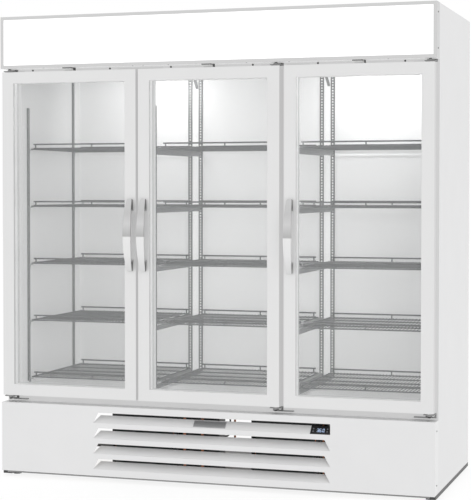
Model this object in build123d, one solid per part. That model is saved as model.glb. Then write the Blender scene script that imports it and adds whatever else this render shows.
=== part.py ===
from build123d import *
import os
from math import cos, radians, sin

# Three-section glass-door reach-in refrigerator, in millimetres.
# Origin: middle of the footprint, on the floor. +X to the right, -Y towards the user, +Z up.

# ---- driving dimensions -------------------------------------------------------------------
WIDTH = 1905.0
HEIGHT = 1998.0
FRONT = -386.0            # plane of the door, header and grille fronts
CABINET_FRONT = -319.0    # front edge of the insulated cabinet
REAR = 431.0
RAIL_BOTTOM = 12.0        # clearance under the base rails, taken up by the levelling feet
RAIL_TOP = 29.0
SKIN = 1.2                # outer and liner sheet

DOOR_WIDTH = 619.5
DOOR_BOTTOM = 357.5
DOOR_TOP = 1759.0
DOOR_DEPTH = 57.0
HINGE_STILE = 52.0
HANDLE_STILE = 50.0
DOOR_RAIL = 48.5
HINGE_INSET = 22.0        # hinge axis to the door's side edge
HINGE_DEPTH = 28.0        # hinge axis to the door's front face
PIN_RADIUS = 5.0
PIN_CLEARANCE = 0.05
DOORS = [("left", -944.5, -1), ("middle", -314.0, 1), ("right", 325.5, 1)]  # name, left edge, hinge side
SENSOR_CENTRES = [-644.5, -14.0, 629.0]
STRIP_SCREW_CENTRES = [-649.0, -9.0, 632.0]

GLASS_FRONT = 15.0        # set back of the outer pane from the door front
PANE = 4.0
GLASS_UNIT = 22.0
GROOVE = 9.0              # how far the glass unit enters the door frame

INNER_HALF = 908.0        # half width between the liner walls
LINER_BACK = 362.0
FLOOR = 385.0
CEILING = 1950.0
OPENING_TOP = 1722.0
BAFFLE_BOTTOM = 1776.0
FOAM_BOTTOM = 340.0
MULLION_CENTRES = [-319.5, 315.0]
MULLION_WIDTH = 64.0
MULLION_BACK = -244.0     # mullions are deeper than the rest of the front frame
FRAME_DEPTH = 44.0        # front frame, front to back

HEADER_BOTTOM = 1774.5
HEADER_LIP = 13.5
GRILLE_TOP = 325.5
GRILLE_BOTTOM = 26.5
GRILLE_SHEET = 1.5

SHELF_COUNT = 5
SHELF_FIRST = 421.0       # top of the wires of the lowest shelf
SHELF_PITCH = 254.0
SHELF_HALF = 284.0
SHELF_LIP_HALF = 272.0
SHELF_LIP_RISE = 15.0
SHELF_FRONT = -195.0
SHELF_BACK = 336.0
SHELF_CENTRES = [("left", -616.0), ("middle", 0.0), ("right", 616.0)]
WIRE = 3.2
ROD = 6.0
WIRES_PER_SHELF = 37
WIRE_PITCH = 15.0

UNITS = [(-452.0, 32.0, -446.0, -171.0, -210.0), (172.0, 507.0, 180.0, 450.0, 360.0)]
# each refrigeration unit: casing left and right, coil left and right, compressor centre
COIL_FRONT = -338.0
COIL_BACK = -280.0
CASING_BACK = -259.0
CASING_TOP = 300.0
COIL_LOW = 75.0
COIL_HIGH = 262.0

LOUVRE_COUNT = 4
LOUVRE_FIRST = 56.0
LOUVRE_PITCH = 66.0
LOUVRE_HEIGHT = 44.0
LOUVRE_HALF_LOW = 522.0
LOUVRE_HALF_HIGH = 498.0
LOUVRE_FLAP = 42.0
LOUVRE_TILT = 45.0

HANDLE_LENGTH = 308.0
HANDLE_STANDOFF = 45.0
HANDLE_END = 10.0
HANDLE_FOOT = 50.0
HANDLE_THICK = 8.0
HANDLE_MIDDLE_HALF = 17.0
HANDLE_END_HALF = 11.0
HANDLE_Z = 1059.0

HALF = WIDTH / 2
DOOR_BACK = FRONT + DOOR_DEPTH
FRAME_BACK = CABINET_FRONT + FRAME_DEPTH
HINGE_Y = FRONT + HINGE_DEPTH


# ---- helpers ------------------------------------------------------------------------------
def block(x0, x1, y0, y1, z0, z1):
    """Box between two corners."""
    centre = ((x0 + x1) / 2, (y0 + y1) / 2, (z0 + z1) / 2)
    return Pos(*centre) * Box(x1 - x0, y1 - y0, z1 - z0)


def plate(points, y0, y1):
    """Upright plate: an outline of (x, z) points, thick from y0 to y1."""
    plane = Plane(origin=(0, y0, 0), x_dir=(1, 0, 0), z_dir=(0, -1, 0))
    return extrude(plane * Polygon(*points, align=None), amount=y1 - y0, dir=(0, 1, 0))


def mitred(outer, inner, y0, y1):
    """Four mitred bars between two rectangles, each (x0, x1, z0, z1)."""
    a0, a1, b0, b1 = outer
    c0, c1, d0, d1 = inner
    left = [(a0, b0), (c0, d0), (c0, d1), (a0, b1)]
    right = [(a1, b0), (a1, b1), (c1, d1), (c1, d0)]
    low = [(a0, b0), (a1, b0), (c1, d0), (c0, d0)]
    high = [(a0, b1), (c0, d1), (c1, d1), (a1, b1)]
    return [plate(points, y0, y1) for points in (left, right, low, high)]


def rod(start, end, radius):
    """Round bar between two points."""
    a = Vector(*start)
    b = Vector(*end)
    plane = Plane(origin=a, z_dir=b - a)
    return plane * Cylinder(radius, (b - a).length, align=(Align.CENTER, Align.CENTER, Align.MIN))


def tube(points, radius, bend):
    """Bent pipe along straight runs joined by arcs."""
    path = FilletPolyline(*points, radius=bend)
    section = Plane(origin=path @ 0, z_dir=path % 0) * Circle(radius)
    return sweep(section, path=path)


def fused(first, *rest):
    """One solid from touching or overlapping solids."""
    result = first
    for shape in rest:
        result = result + shape
    return result


def save(name, *shapes, flat_faced=False):
    """Write one node, as one solid or as a group of separate solids."""
    solids = [solid for shape in shapes for solid in shape.solids()]
    whole = solids[0] if len(solids) == 1 else Compound(solids)
    export_step(whole, f"parts/{name}.step", write_pcurves=not flat_faced)


# ---- doors --------------------------------------------------------------------------------
def door_rectangles(left_edge, hinge_side):
    """Outer edge and glass opening of a door, each (x0, x1, z0, z1)."""
    left_stile = HINGE_STILE if hinge_side < 0 else HANDLE_STILE
    right_stile = HINGE_STILE if hinge_side > 0 else HANDLE_STILE
    right_edge = left_edge + DOOR_WIDTH
    outer = (left_edge, right_edge, DOOR_BOTTOM, DOOR_TOP)
    opening = (left_edge + left_stile, right_edge - right_stile,
               DOOR_BOTTOM + DOOR_RAIL, DOOR_TOP - DOOR_RAIL)
    return outer, opening


def grown(rectangle, margin):
    """Rectangle made larger by a margin on every side."""
    x0, x1, z0, z1 = rectangle
    return (x0 - margin, x1 + margin, z0 - margin, z1 + margin)


def hinge_axis_x(left_edge, hinge_side):
    """X of a door's hinge axis."""
    if hinge_side < 0:
        return left_edge + HINGE_INSET
    return left_edge + DOOR_WIDTH - HINGE_INSET


def door_frame(outer, opening, axis_x):
    """Mitred extrusions, grooved for the glass unit and bored for the hinge pins."""
    clearance = 0.3
    bore_depth = 14.0
    x0, x1, z0, z1 = grown(opening, GROOVE + clearance)
    glass_y = FRONT + GLASS_FRONT
    groove = block(x0, x1, glass_y - clearance, glass_y + GLASS_UNIT + clearance, z0, z1)
    radius = PIN_RADIUS + PIN_CLEARANCE
    top_bore = rod((axis_x, HINGE_Y, DOOR_TOP - bore_depth), (axis_x, HINGE_Y, DOOR_TOP + 1), radius)
    low_bore = rod((axis_x, HINGE_Y, DOOR_BOTTOM - 1), (axis_x, HINGE_Y, DOOR_BOTTOM + bore_depth), radius)
    bars = mitred(outer, opening, FRONT, DOOR_BACK)
    return [bar - groove - top_bore - low_bore for bar in bars]


def door_glass_unit(opening):
    """Sealed double-glazed unit: two panes bonded to an edge spacer."""
    spacer_width = 7.0
    x0, x1, z0, z1 = grown(opening, GROOVE)
    outer_y = FRONT + GLASS_FRONT
    inner_y = outer_y + GLASS_UNIT - PANE
    panes = [block(x0, x1, y, y + PANE, z0, z1) for y in (outer_y, inner_y)]
    edge = grown(opening, GROOVE - 1.0)
    return panes + mitred(edge, grown(edge, -spacer_width), outer_y + PANE, inner_y)


def door_gasket(outer):
    """Magnetic gasket on the back of the door, clear of the hinge axis's far side."""
    gasket_width = 18.0
    gap = 0.5
    edge = grown(outer, -HINGE_INSET)
    return mitred(edge, grown(edge, -gasket_width), DOOR_BACK, CABINET_FRONT - gap)


def handle_solid(centre_x):
    """Bowed pull handle with two feet on the door face."""
    half = HANDLE_LENGTH / 2
    ends_y = FRONT - HANDLE_END
    peak_y = FRONT - HANDLE_STANDOFF
    extra = 20.0
    bow = ThreePointArc((ends_y, -half), (peak_y, 0), (ends_y, half))
    cheek = Polyline((ends_y, half), (FRONT, half), (FRONT, -half), (ends_y, -half))
    profile_plane = Plane(origin=(-extra, 0, HANDLE_Z), x_dir=(0, 1, 0), z_dir=(1, 0, 0))
    solid = extrude(profile_plane * make_face([bow, cheek]), amount=2 * extra)
    inner_half = half - HANDLE_FOOT
    rise = 12.0
    inner_bow = ThreePointArc(
        (peak_y + HANDLE_THICK + rise, -inner_half),
        (peak_y + HANDLE_THICK, 0),
        (peak_y + HANDLE_THICK + rise, inner_half),
    )
    inner_cheek = Polyline(
        (peak_y + HANDLE_THICK + rise, inner_half),
        (FRONT + 1, inner_half),
        (FRONT + 1, -inner_half),
        (peak_y + HANDLE_THICK + rise, -inner_half),
    )
    pocket = extrude(profile_plane * make_face([inner_bow, inner_cheek]), amount=2 * extra)
    corner = 6.0
    left_side = ThreePointArc((-HANDLE_END_HALF, -half), (-HANDLE_MIDDLE_HALF, 0), (-HANDLE_END_HALF, half))
    top_end = Line((-HANDLE_END_HALF, half), (HANDLE_END_HALF, half))
    right_side = ThreePointArc((HANDLE_END_HALF, half), (HANDLE_MIDDLE_HALF, 0), (HANDLE_END_HALF, -half))
    low_end = Line((HANDLE_END_HALF, -half), (-HANDLE_END_HALF, -half))
    outline = make_face([left_side, top_end, right_side, low_end])
    outline = fillet(outline.vertices(), corner)
    outline_plane = Plane(origin=(0, FRONT - 2 * extra - 20, HANDLE_Z), x_dir=(1, 0, 0), z_dir=(0, -1, 0))
    lens = extrude(outline_plane * outline, amount=100, dir=(0, 1, 0))
    return Pos(centre_x, 0, 0) * ((solid - pocket) & lens)


def build_doors():
    for name, left_edge, hinge_side in DOORS:
        outer, opening = door_rectangles(left_edge, hinge_side)
        axis_x = hinge_axis_x(left_edge, hinge_side)
        if hinge_side < 0:
            handle_x = left_edge + DOOR_WIDTH - HANDLE_STILE / 2
        else:
            handle_x = left_edge + HANDLE_STILE / 2
        save(f"door_{name}_frame", *door_frame(outer, opening, axis_x))
        save(f"door_{name}_glass_unit", *door_glass_unit(opening))
        save(f"door_{name}_gasket", *door_gasket(outer))
        save(f"door_{name}_handle", handle_solid(handle_x))


# ---- hinges and door sensors --------------------------------------------------------------
def top_bracket(axis_x):
    """Arm on the cabinet front with a pin that points down into the door."""
    half_width = 22.0
    arm_low = 1762.0
    arm_high = 1766.0
    nose_y = HINGE_Y - 14.0
    arm = block(axis_x - half_width, axis_x + half_width, nose_y, CABINET_FRONT, arm_low, arm_high)
    flange = block(axis_x - half_width, axis_x + half_width, CABINET_FRONT - 3, CABINET_FRONT,
                   arm_high, 1773.0)
    pin = rod((axis_x, HINGE_Y, DOOR_TOP - 13), (axis_x, HINGE_Y, arm_low), PIN_RADIUS)
    bolt = rod((axis_x, HINGE_Y, arm_high), (axis_x, HINGE_Y, arm_high + 5), 8.0)
    return fused(arm, flange, pin, bolt)


def low_bracket(axis_x, foot_side):
    """Bracket under the door, with a pin that points up and a wide foot plate on the sill."""
    half_width = 22.0
    arm_low = 349.5
    arm_high = 353.5
    foot_low = 333.0
    foot_high = 337.0
    foot_length = 68.0
    nose_y = HINGE_Y - 14.0
    foot_y = CABINET_FRONT - 14.0
    arm = block(axis_x - half_width, axis_x + half_width, nose_y, CABINET_FRONT, arm_low, arm_high)
    web = block(axis_x - half_width, axis_x + half_width, CABINET_FRONT - 4, CABINET_FRONT, foot_low, arm_low)
    foot_end = axis_x + foot_side * foot_length
    foot_x = sorted((axis_x, foot_end))
    foot = block(foot_x[0], foot_x[1], foot_y, CABINET_FRONT, foot_low, foot_high)
    pin = rod((axis_x, HINGE_Y, arm_high), (axis_x, HINGE_Y, DOOR_BOTTOM + 13), PIN_RADIUS)
    washer = rod((axis_x, HINGE_Y, arm_high), (axis_x, HINGE_Y, DOOR_BOTTOM - 0.4), 10.0)
    nut = rod((axis_x, HINGE_Y, arm_low - 6), (axis_x, HINGE_Y, arm_low), 9.0)
    return fused(arm, web, foot, pin, washer, nut)


def build_hinges():
    axes = [hinge_axis_x(edge, side) for _, edge, side in DOORS]
    foot_sides = [1, 1, -1]
    brackets = [top_bracket(x) for x in axes]
    brackets += [low_bracket(x, side) for x, side in zip(axes, foot_sides)]
    save("hinge_brackets", *brackets)
    sensors = []
    for centre in SENSOR_CENTRES:
        sensors.append(block(centre - 26, centre + 26, CABINET_FRONT - 36, CABINET_FRONT, 1763.5, 1772.0))
    save("door_sensors", *sensors)


# ---- cabinet shell ------------------------------------------------------------------------
def build_shell():
    top_z = HEIGHT - SKIN
    for name, side in (("left", -1), ("right", 1)):
        x0, x1 = sorted((side * HALF, side * (HALF - SKIN)))
        save(f"side_panel_{name}", block(x0, x1, CABINET_FRONT, REAR, RAIL_TOP, HEIGHT))
    inner = HALF - SKIN
    save("top_panel", block(-inner, inner, CABINET_FRONT, REAR, top_z, HEIGHT))
    save("rear_panel", block(-inner, inner, REAR - SKIN, REAR, FOAM_BOTTOM - SKIN, top_z))
    save("insulation", *insulation(inner, top_z))
    save("liner", *liner())
    save("front_frame", *front_frame(inner, top_z))


def insulation(inner, top_z):
    """Foam blocks between the outer skin and the liner."""
    wall = INNER_HALF + SKIN
    foam_front = FRAME_BACK
    back = LINER_BACK + SKIN
    rear = REAR - SKIN
    floor_top = FLOOR - SKIN
    roof_low = CEILING + SKIN
    return [
        block(-inner, -wall, foam_front, back, floor_top, roof_low),
        block(wall, inner, foam_front, back, floor_top, roof_low),
        block(-inner, inner, back, rear, FOAM_BOTTOM, top_z),
        block(-inner, inner, foam_front, back, FOAM_BOTTOM, floor_top),
        block(-inner, inner, foam_front, back, roof_low, top_z),
    ]


def liner():
    """White sheet lining of the cold space: two walls, back, floor and roof."""
    wall = INNER_HALF + SKIN
    front = FRAME_BACK
    back = LINER_BACK + SKIN
    return [
        block(-wall, -INNER_HALF, front, back, FLOOR - SKIN, CEILING + SKIN),
        block(INNER_HALF, wall, front, back, FLOOR - SKIN, CEILING + SKIN),
        block(-INNER_HALF, INNER_HALF, LINER_BACK, back, FLOOR - SKIN, CEILING + SKIN),
        block(-INNER_HALF, INNER_HALF, front, LINER_BACK, FLOOR - SKIN, FLOOR),
        block(-INNER_HALF, INNER_HALF, front, LINER_BACK, CEILING, CEILING + SKIN),
    ]


def front_frame(inner, top_z):
    """Head, sill, jambs and mullions that the gaskets seal against."""
    back = FRAME_BACK
    bars = [
        block(-inner, inner, CABINET_FRONT, back, OPENING_TOP, top_z),
        block(-inner, inner, CABINET_FRONT, back, GRILLE_TOP - 20, FLOOR),
        block(-inner, -INNER_HALF, CABINET_FRONT, back, FLOOR, OPENING_TOP),
        block(INNER_HALF, inner, CABINET_FRONT, back, FLOOR, OPENING_TOP),
    ]
    for centre in MULLION_CENTRES:
        half = MULLION_WIDTH / 2
        bars.append(block(centre - half, centre + half, CABINET_FRONT, MULLION_BACK, FLOOR, OPENING_TOP))
    return bars


# ---- header sign --------------------------------------------------------------------------
def build_header():
    lip_depth = 3.0
    sign_thick = 3.0
    outer = (-HALF, HALF, HEADER_BOTTOM, HEIGHT)
    save("header_trim", *mitred(outer, grown(outer, -HEADER_LIP), FRONT, FRONT + lip_depth))
    sx0, sx1, sz0, sz1 = grown(outer, -2 * SKIN)
    sign_back = FRONT + lip_depth + sign_thick
    save("sign_panel", block(sx0, sx1, FRONT + lip_depth, sign_back, sz0, sz1))
    shell = block(-HALF, HALF, FRONT + lip_depth, CABINET_FRONT, HEADER_BOTTOM, HEIGHT)
    room = block(sx0, sx1, FRONT, CABINET_FRONT - SKIN, sz0, sz1)
    save("header_housing", shell - room)
    save("lamps", *header_lamps(sign_back), *mullion_lamps())


def header_lamps(sign_back):
    """Four lamp tubes with end holders behind the sign panel."""
    lamps = []
    lamp_y = (sign_back + CABINET_FRONT - SKIN) / 2
    lamp_length = 880.0
    for lamp_z in (HEADER_BOTTOM + 65, HEIGHT - 65):
        for x0 in (-910.0, 30.0):
            lamp = rod((x0, lamp_y, lamp_z), (x0 + lamp_length, lamp_y, lamp_z), 13.0)
            ends = [block(x - 6, x + 6, lamp_y - 15, CABINET_FRONT - SKIN, lamp_z - 15, lamp_z + 15)
                    for x in (x0, x0 + lamp_length)]
            lamps.append(fused(lamp, *ends))
    return lamps


def mullion_lamps():
    """Lamp strip on the back of each mullion."""
    return [block(centre - 9, centre + 9, MULLION_BACK + 0.5, MULLION_BACK + 12.5, 450.0, 1700.0)
            for centre in MULLION_CENTRES]


# ---- machine bay front --------------------------------------------------------------------
def louvre_outline(low_z, flat_end, right_end=LOUVRE_HALF_LOW, height=LOUVRE_HEIGHT):
    """Trapezoid of one louvre; a flat end is upright at right_end."""
    top_right = right_end if flat_end else LOUVRE_HALF_HIGH
    return [(-LOUVRE_HALF_LOW, low_z), (right_end, low_z), (top_right, low_z + height),
            (-LOUVRE_HALF_HIGH, low_z + height)]


def tilted(shape, low_z):
    """Lean a plate back about the louvre's bottom edge."""
    hinge = Pos(0, FRONT + GRILLE_SHEET, low_z)
    return hinge * Rot(-LOUVRE_TILT, 0, 0) * hinge.inverse() * shape


def build_grille():
    sheet_back = FRONT + GRILLE_SHEET
    face = block(-HALF, HALF, FRONT, sheet_back, GRILLE_BOTTOM, GRILLE_TOP)
    grille = face
    controller_x0 = 437.0
    controller_x1 = 521.0
    for index in range(LOUVRE_COUNT):
        low_z = LOUVRE_FIRST + index * LOUVRE_PITCH
        last = index == LOUVRE_COUNT - 1
        grille = grille - plate(louvre_outline(low_z, last), FRONT - 1, sheet_back + 1)
    for index in range(LOUVRE_COUNT):
        low_z = LOUVRE_FIRST + index * LOUVRE_PITCH
        last = index == LOUVRE_COUNT - 1
        flap_right = controller_x0 - 1 if last else LOUVRE_HALF_LOW
        outline = louvre_outline(low_z - 0.6, last, flap_right, LOUVRE_FLAP)
        grille = grille + tilted(plate(outline, FRONT, sheet_back), low_z)
    for side in (-1, 1):
        x0, x1 = sorted((side * HALF, side * (HALF - GRILLE_SHEET)))
        grille = grille + block(x0, x1, sheet_back, CABINET_FRONT, RAIL_TOP, GRILLE_TOP)
    lid = block(-HALF, HALF, sheet_back, CABINET_FRONT, GRILLE_TOP - GRILLE_SHEET, GRILLE_TOP)
    lip = block(-HALF + 24, HALF - 24, FRONT + 6, FRONT + 7.5,
                GRILLE_BOTTOM - 7.5, GRILLE_BOTTOM + 12)
    tie = block(-HALF + 24, HALF - 24, sheet_back, FRONT + 6, GRILLE_BOTTOM + 4, GRILLE_BOTTOM + 5.5)
    save("base_grille", fused(grille, lid, lip, tie))

    low_z = LOUVRE_FIRST + (LOUVRE_COUNT - 1) * LOUVRE_PITCH
    body = block(controller_x0, controller_x1 - 0.5, sheet_back + 0.2, sheet_back + 18,
                 low_z + 0.5, low_z + 43)
    save("temperature_controller", tilted(body, low_z))
    badge = block(-70, 71, FRONT - 1.6, FRONT, low_z + 4, low_z + 36)
    save("name_plate", tilted(badge, low_z))


# ---- base, feet and refrigeration machinery -----------------------------------------------
def build_base():
    rail = 40.0
    rail_front = FRONT + 14.0
    inset = 22.0
    rails = [block(-HALF, -HALF + rail, rail_front, REAR, RAIL_BOTTOM, RAIL_TOP),
             block(HALF - rail, HALF, rail_front, REAR, RAIL_BOTTOM, RAIL_TOP)]
    inner = HALF - rail
    for y in (CABINET_FRONT, REAR - rail):
        rails.append(block(-inner, inner, y, y + rail, RAIL_BOTTOM, RAIL_TOP))
    pan_top = RAIL_TOP + 2.0
    pan = block(UNITS[0][0] - 15, UNITS[-1][1] + 15, COIL_FRONT - 5, REAR, RAIL_TOP, pan_top)
    save("base_frame", pan, *rails)
    feet = []
    for x in (-HALF + inset + 10, HALF - inset - 10):
        for y in (CABINET_FRONT + rail / 2, REAR - rail / 2):
            pad = rod((x, y, 0), (x, y, 6), 19.0)
            stud = rod((x, y, 6), (x, y, RAIL_BOTTOM), 8.0)
            feet.append(fused(pad, stud))
    save("levelling_feet", *feet)
    return pan_top


def fan_solid(radius, hub_radius, depth, shaft_length, blades):
    """Axial fan about +Y: hub, pitched blades cut to a round rim, and a shaft behind."""
    pitch = 28.0
    upright = Rot(-90, 0, 0)
    hub = upright * Cylinder(hub_radius, depth)
    vanes = None
    for index in range(blades):
        vane = Rot(0, 0, pitch) * Box(radius * 0.62, 2.0, radius - hub_radius + 6)
        vane = Pos(0, 0, (radius + hub_radius) / 2) * vane
        vane = Rot(0, index * 360.0 / blades, 0) * vane
        vanes = vane if vanes is None else vanes + vane
    rim = upright * Cylinder(radius, 4 * depth)
    shaft = rod((0, depth / 2, 0), (0, depth / 2 + shaft_length, 0), 4.0)
    return fused(hub, vanes & rim, shaft)


def fan_motor(radius, length):
    """Fan motor with a blind bore in front for the fan's shaft, about +Y."""
    can = rod((0, 0, 0), (0, length, 0), radius)
    boss = rod((0, -6, 0), (0, 0, 0), radius * 0.45)
    return fused(can, boss) - rod((0, -7, 0), (0, 16, 0), 4.0 + PIN_CLEARANCE)


def unit_casing(x0, x1, coil_x0, coil_x1, pan_top):
    """Black casing round one coil, with the fan's throat behind it and recesses for bent tubes."""
    ring_radius = 105.0
    centre_x = (coil_x0 + coil_x1) / 2
    centre_z = (COIL_LOW + COIL_HIGH) / 2
    casing = block(x0, x1, COIL_FRONT, CASING_BACK, pan_top, CASING_TOP)
    pocket = block(coil_x0, coil_x1, COIL_FRONT - 1, COIL_BACK, COIL_LOW, COIL_HIGH)
    throat = rod((centre_x, COIL_BACK - 1, centre_z), (centre_x, CASING_BACK + 1, centre_z), ring_radius)
    recess = block(coil_x1 + 8, x1 - 8, COIL_FRONT - 1, COIL_FRONT + 36, COIL_LOW - 30, CASING_TOP - 12)
    return casing - pocket - throat - recess


def riser_tubes(x0, x1):
    """Upright copper tubes that stand in a casing's recess."""
    low = COIL_LOW - 30
    high = CASING_TOP - 12
    count = 2 if x1 - x0 > 100 else 1
    spacing = 80.0
    middle = (x0 + x1) / 2 - 19.0 * (count - 1)
    first = middle - spacing * (count - 1) / 2
    y = COIL_FRONT + 16
    return [rod((first + spacing * k, y, low), (first + spacing * k, y, high), 6.0) for k in range(count)]


def fan_mount(centre_x, centre_z):
    """Fan motor on a bridge that stands off the casing."""
    motor_y = COIL_BACK + 64.0
    bridge_y = motor_y + 30
    motor = Pos(centre_x, motor_y, centre_z) * fan_motor(42.0, 70.0)
    bars = [block(centre_x + side * 120 - 10, centre_x + side * 120 + 10, CASING_BACK, bridge_y,
                  centre_z - 8, centre_z + 8) for side in (-1, 1)]
    bridge = block(centre_x - 130, centre_x + 130, bridge_y, bridge_y + 6, centre_z - 8, centre_z + 8)
    return fused(motor, bridge, *bars)


def compressor(shell_x, shell_y, pan_top):
    """Hermetic compressor: rounded can, seam, neck, base plate, terminal box and four isolators."""
    can = Pos(shell_x, shell_y, pan_top + 112) * Cylinder(105, 150)
    can = fillet(can.edges().filter_by(GeomType.CIRCLE), 45)
    seam = Pos(shell_x, shell_y, pan_top + 130) * Cylinder(109, 8)
    neck = Pos(shell_x, shell_y, pan_top + 30) * Cylinder(50, 20)
    base_plate = block(shell_x - 130, shell_x + 130, shell_y - 100, shell_y + 100,
                       pan_top + 18, pan_top + 22)
    box = block(shell_x - 40, shell_x + 40, shell_y - 130, shell_y - 90, pan_top + 80, pan_top + 150)
    isolators = [Pos(shell_x + dx, shell_y + dy, pan_top + 9) * Cylinder(14, 18)
                 for dx in (-110, 110) for dy in (-80, 80)]
    return fused(can, seam, neck, base_plate, box, *isolators)


def unit_pipes(shell_x, shell_y, pan_top):
    """Suction, discharge and liquid lines of one refrigeration unit."""
    pipe = 5.0
    bend = 22.0
    port_z = pan_top + 112
    high_z = FOAM_BOTTOM - 50
    inlet_z = pan_top + 230
    outlet_z = pan_top + 60
    behind = shell_y + 190
    rise_x = shell_x - 150
    rise_y = LINER_BACK + 30
    suction = tube([(shell_x, shell_y + 105.2, port_z), (shell_x, behind, port_z), (shell_x, behind, high_z),
                    (rise_x, behind, high_z), (rise_x, rise_y, high_z), (rise_x, rise_y, FOAM_BOTTOM)],
                   pipe, bend)
    side_x = shell_x - 170
    discharge = tube([(shell_x - 105.2, shell_y, port_z), (side_x, shell_y, port_z),
                      (side_x, shell_y, inlet_z), (side_x, CASING_BACK, inlet_z)], pipe, bend)
    liquid_x = shell_x + 138
    liquid = tube([(liquid_x, CASING_BACK, outlet_z), (liquid_x, 200, outlet_z),
                   (liquid_x, 200, FOAM_BOTTOM)], pipe, bend)
    return [suction, discharge, liquid]


def build_machine(pan_top):
    shell_y = 60.0
    coils = []
    casings = []
    mounts = []
    shells = []
    pipes = []
    for name, (x0, x1, coil_x0, coil_x1, shell_x) in zip(("left", "right"), UNITS):
        centre_x = (coil_x0 + coil_x1) / 2
        centre_z = (COIL_LOW + COIL_HIGH) / 2
        coils.append(block(coil_x0, coil_x1, COIL_FRONT, COIL_BACK, COIL_LOW, COIL_HIGH))
        casings.append(unit_casing(x0, x1, coil_x0, coil_x1, pan_top))
        mounts.append(fan_mount(centre_x, centre_z))
        shells.append(compressor(shell_x, shell_y, pan_top))
        pipes += unit_pipes(shell_x, shell_y, pan_top)
        pipes += riser_tubes(coil_x1 + 8, x1 - 8)
        fan = Pos(centre_x, COIL_BACK + 30.0, centre_z) * fan_solid(95.0, 20.0, 24.0, 36.0, 5)
        save(f"condenser_fan_{name}", fan)
    save("condenser_coils", *coils)
    save("condenser_casings", *casings)
    save("condenser_fan_motors", *mounts)
    save("compressors", *shells)
    save("refrigerant_pipes", *pipes)


def drip_tail(centre_x):
    """Slanted, round-ended tail that hangs from the cover in front of the back wall."""
    lean = 16.5
    half_width = 6.0
    length = 52.0
    thick = 3.0
    lower = Pos(0, 0, -length) * (Rot(90, 0, 0) * Cylinder(half_width, thick))
    tail = block(-half_width, half_width, -thick / 2, thick / 2, -length, 4) + lower
    tail = Pos(centre_x - 5.5, LINER_BACK - 4.0, BAFFLE_BOTTOM) * Rot(0, -lean, 0) * tail
    below = block(centre_x - 60, centre_x + 60, LINER_BACK - 8, LINER_BACK, BAFFLE_BOTTOM - 80, BAFFLE_BOTTOM)
    return tail & below


def build_evaporator():
    coil_x = 560.0
    coil_y0 = 120.0
    coil_y1 = 260.0
    coil_z0 = 1796.0
    coil_z1 = 1930.0
    cover = block(-INNER_HALF, INNER_HALF, FRAME_BACK, LINER_BACK, BAFFLE_BOTTOM, BAFFLE_BOTTOM + 2)
    save("evaporator_cover", cover, *[drip_tail(x) for x in MULLION_CENTRES])
    save("evaporator_coil", block(-coil_x, coil_x, coil_y0, coil_y1, coil_z0, coil_z1))
    motors = []
    centre_z = (coil_z0 + coil_z1) / 2
    fan_x = 300.0
    for name, x in (("left", -fan_x), ("right", fan_x)):
        save(f"evaporator_fan_{name}", Rot(0, 0, 180) * Pos(-x, -(coil_y0 - 30), centre_z)
             * fan_solid(55.0, 14.0, 18.0, 24.0, 4))
        motor = Pos(x, coil_y0 - 62, centre_z) * Rot(0, 0, 180) * fan_motor(26.0, 45.0)
        strap = block(x - 80, x + 80, coil_y0 - 85, coil_y0 - 81, centre_z - 6, centre_z + 6)
        legs = [block(x + side * 76 - 4, x + side * 76 + 4, coil_y0 - 81, coil_y0, centre_z - 6, centre_z + 6)
                for side in (-1, 1)]
        motors.append(fused(motor, strap, *legs))
    save("evaporator_fan_motors", *motors)


# ---- shelves ------------------------------------------------------------------------------
def wire_shelf():
    """Wire shelf about its own middle, wire tops at z = 0: the bed, and a lip welded on each end."""
    depth = SHELF_BACK - SHELF_FRONT
    half_depth = depth / 2
    bite = 0.6
    rod_top = -WIRE + bite
    rod_low = rod_top - ROD
    shape = None
    rows = 5
    for index in range(rows):
        y = -half_depth + ROD / 2 + index * (depth - ROD) / (rows - 1)
        bar = block(-SHELF_HALF, SHELF_HALF, y - ROD / 2, y + ROD / 2, rod_low, rod_top)
        shape = bar if shape is None else shape + bar
    for side in (-1, 1):
        x0, x1 = sorted((side * SHELF_HALF, side * (SHELF_HALF - ROD)))
        shape = shape + block(x0, x1, -half_depth, half_depth, rod_low, rod_top)
    wires = []
    first = -WIRE_PITCH * (WIRES_PER_SHELF - 1) / 2
    for index in range(WIRES_PER_SHELF):
        x = first + index * WIRE_PITCH
        wires.append(block(x - WIRE / 2, x + WIRE / 2, -half_depth + 1, half_depth - 1, -WIRE, 0))
    shape = shape + wires
    lip = 6.6
    lips = []
    for side in (-1, 1):
        y0, y1 = sorted((side * half_depth, side * (half_depth - lip)))
        rail = block(-SHELF_LIP_HALF, SHELF_LIP_HALF, y0, y1, SHELF_LIP_RISE - lip / 2,
                     SHELF_LIP_RISE + lip / 2)
        for x in (-SHELF_LIP_HALF + 9.5, WIRE_PITCH / 2, SHELF_LIP_HALF - 9.5):
            rail = rail + block(x - lip / 2, x + lip / 2, y0, y1, rod_top, SHELF_LIP_RISE)
        lips.append(rail)
    return [shape, *lips]


def build_shelves():
    shelf_solids = wire_shelf()
    middle_y = (SHELF_FRONT + SHELF_BACK) / 2
    for section, x in SHELF_CENTRES:
        for level in range(SHELF_COUNT):
            z = SHELF_FIRST + level * SHELF_PITCH
            placed = [Pos(x, middle_y, z) * solid for solid in shelf_solids]
            save(f"wire_shelf_{section}_{level + 1}", *placed, flat_faced=True)
    return [SHELF_FIRST + level * SHELF_PITCH for level in range(SHELF_COUNT)]


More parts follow.
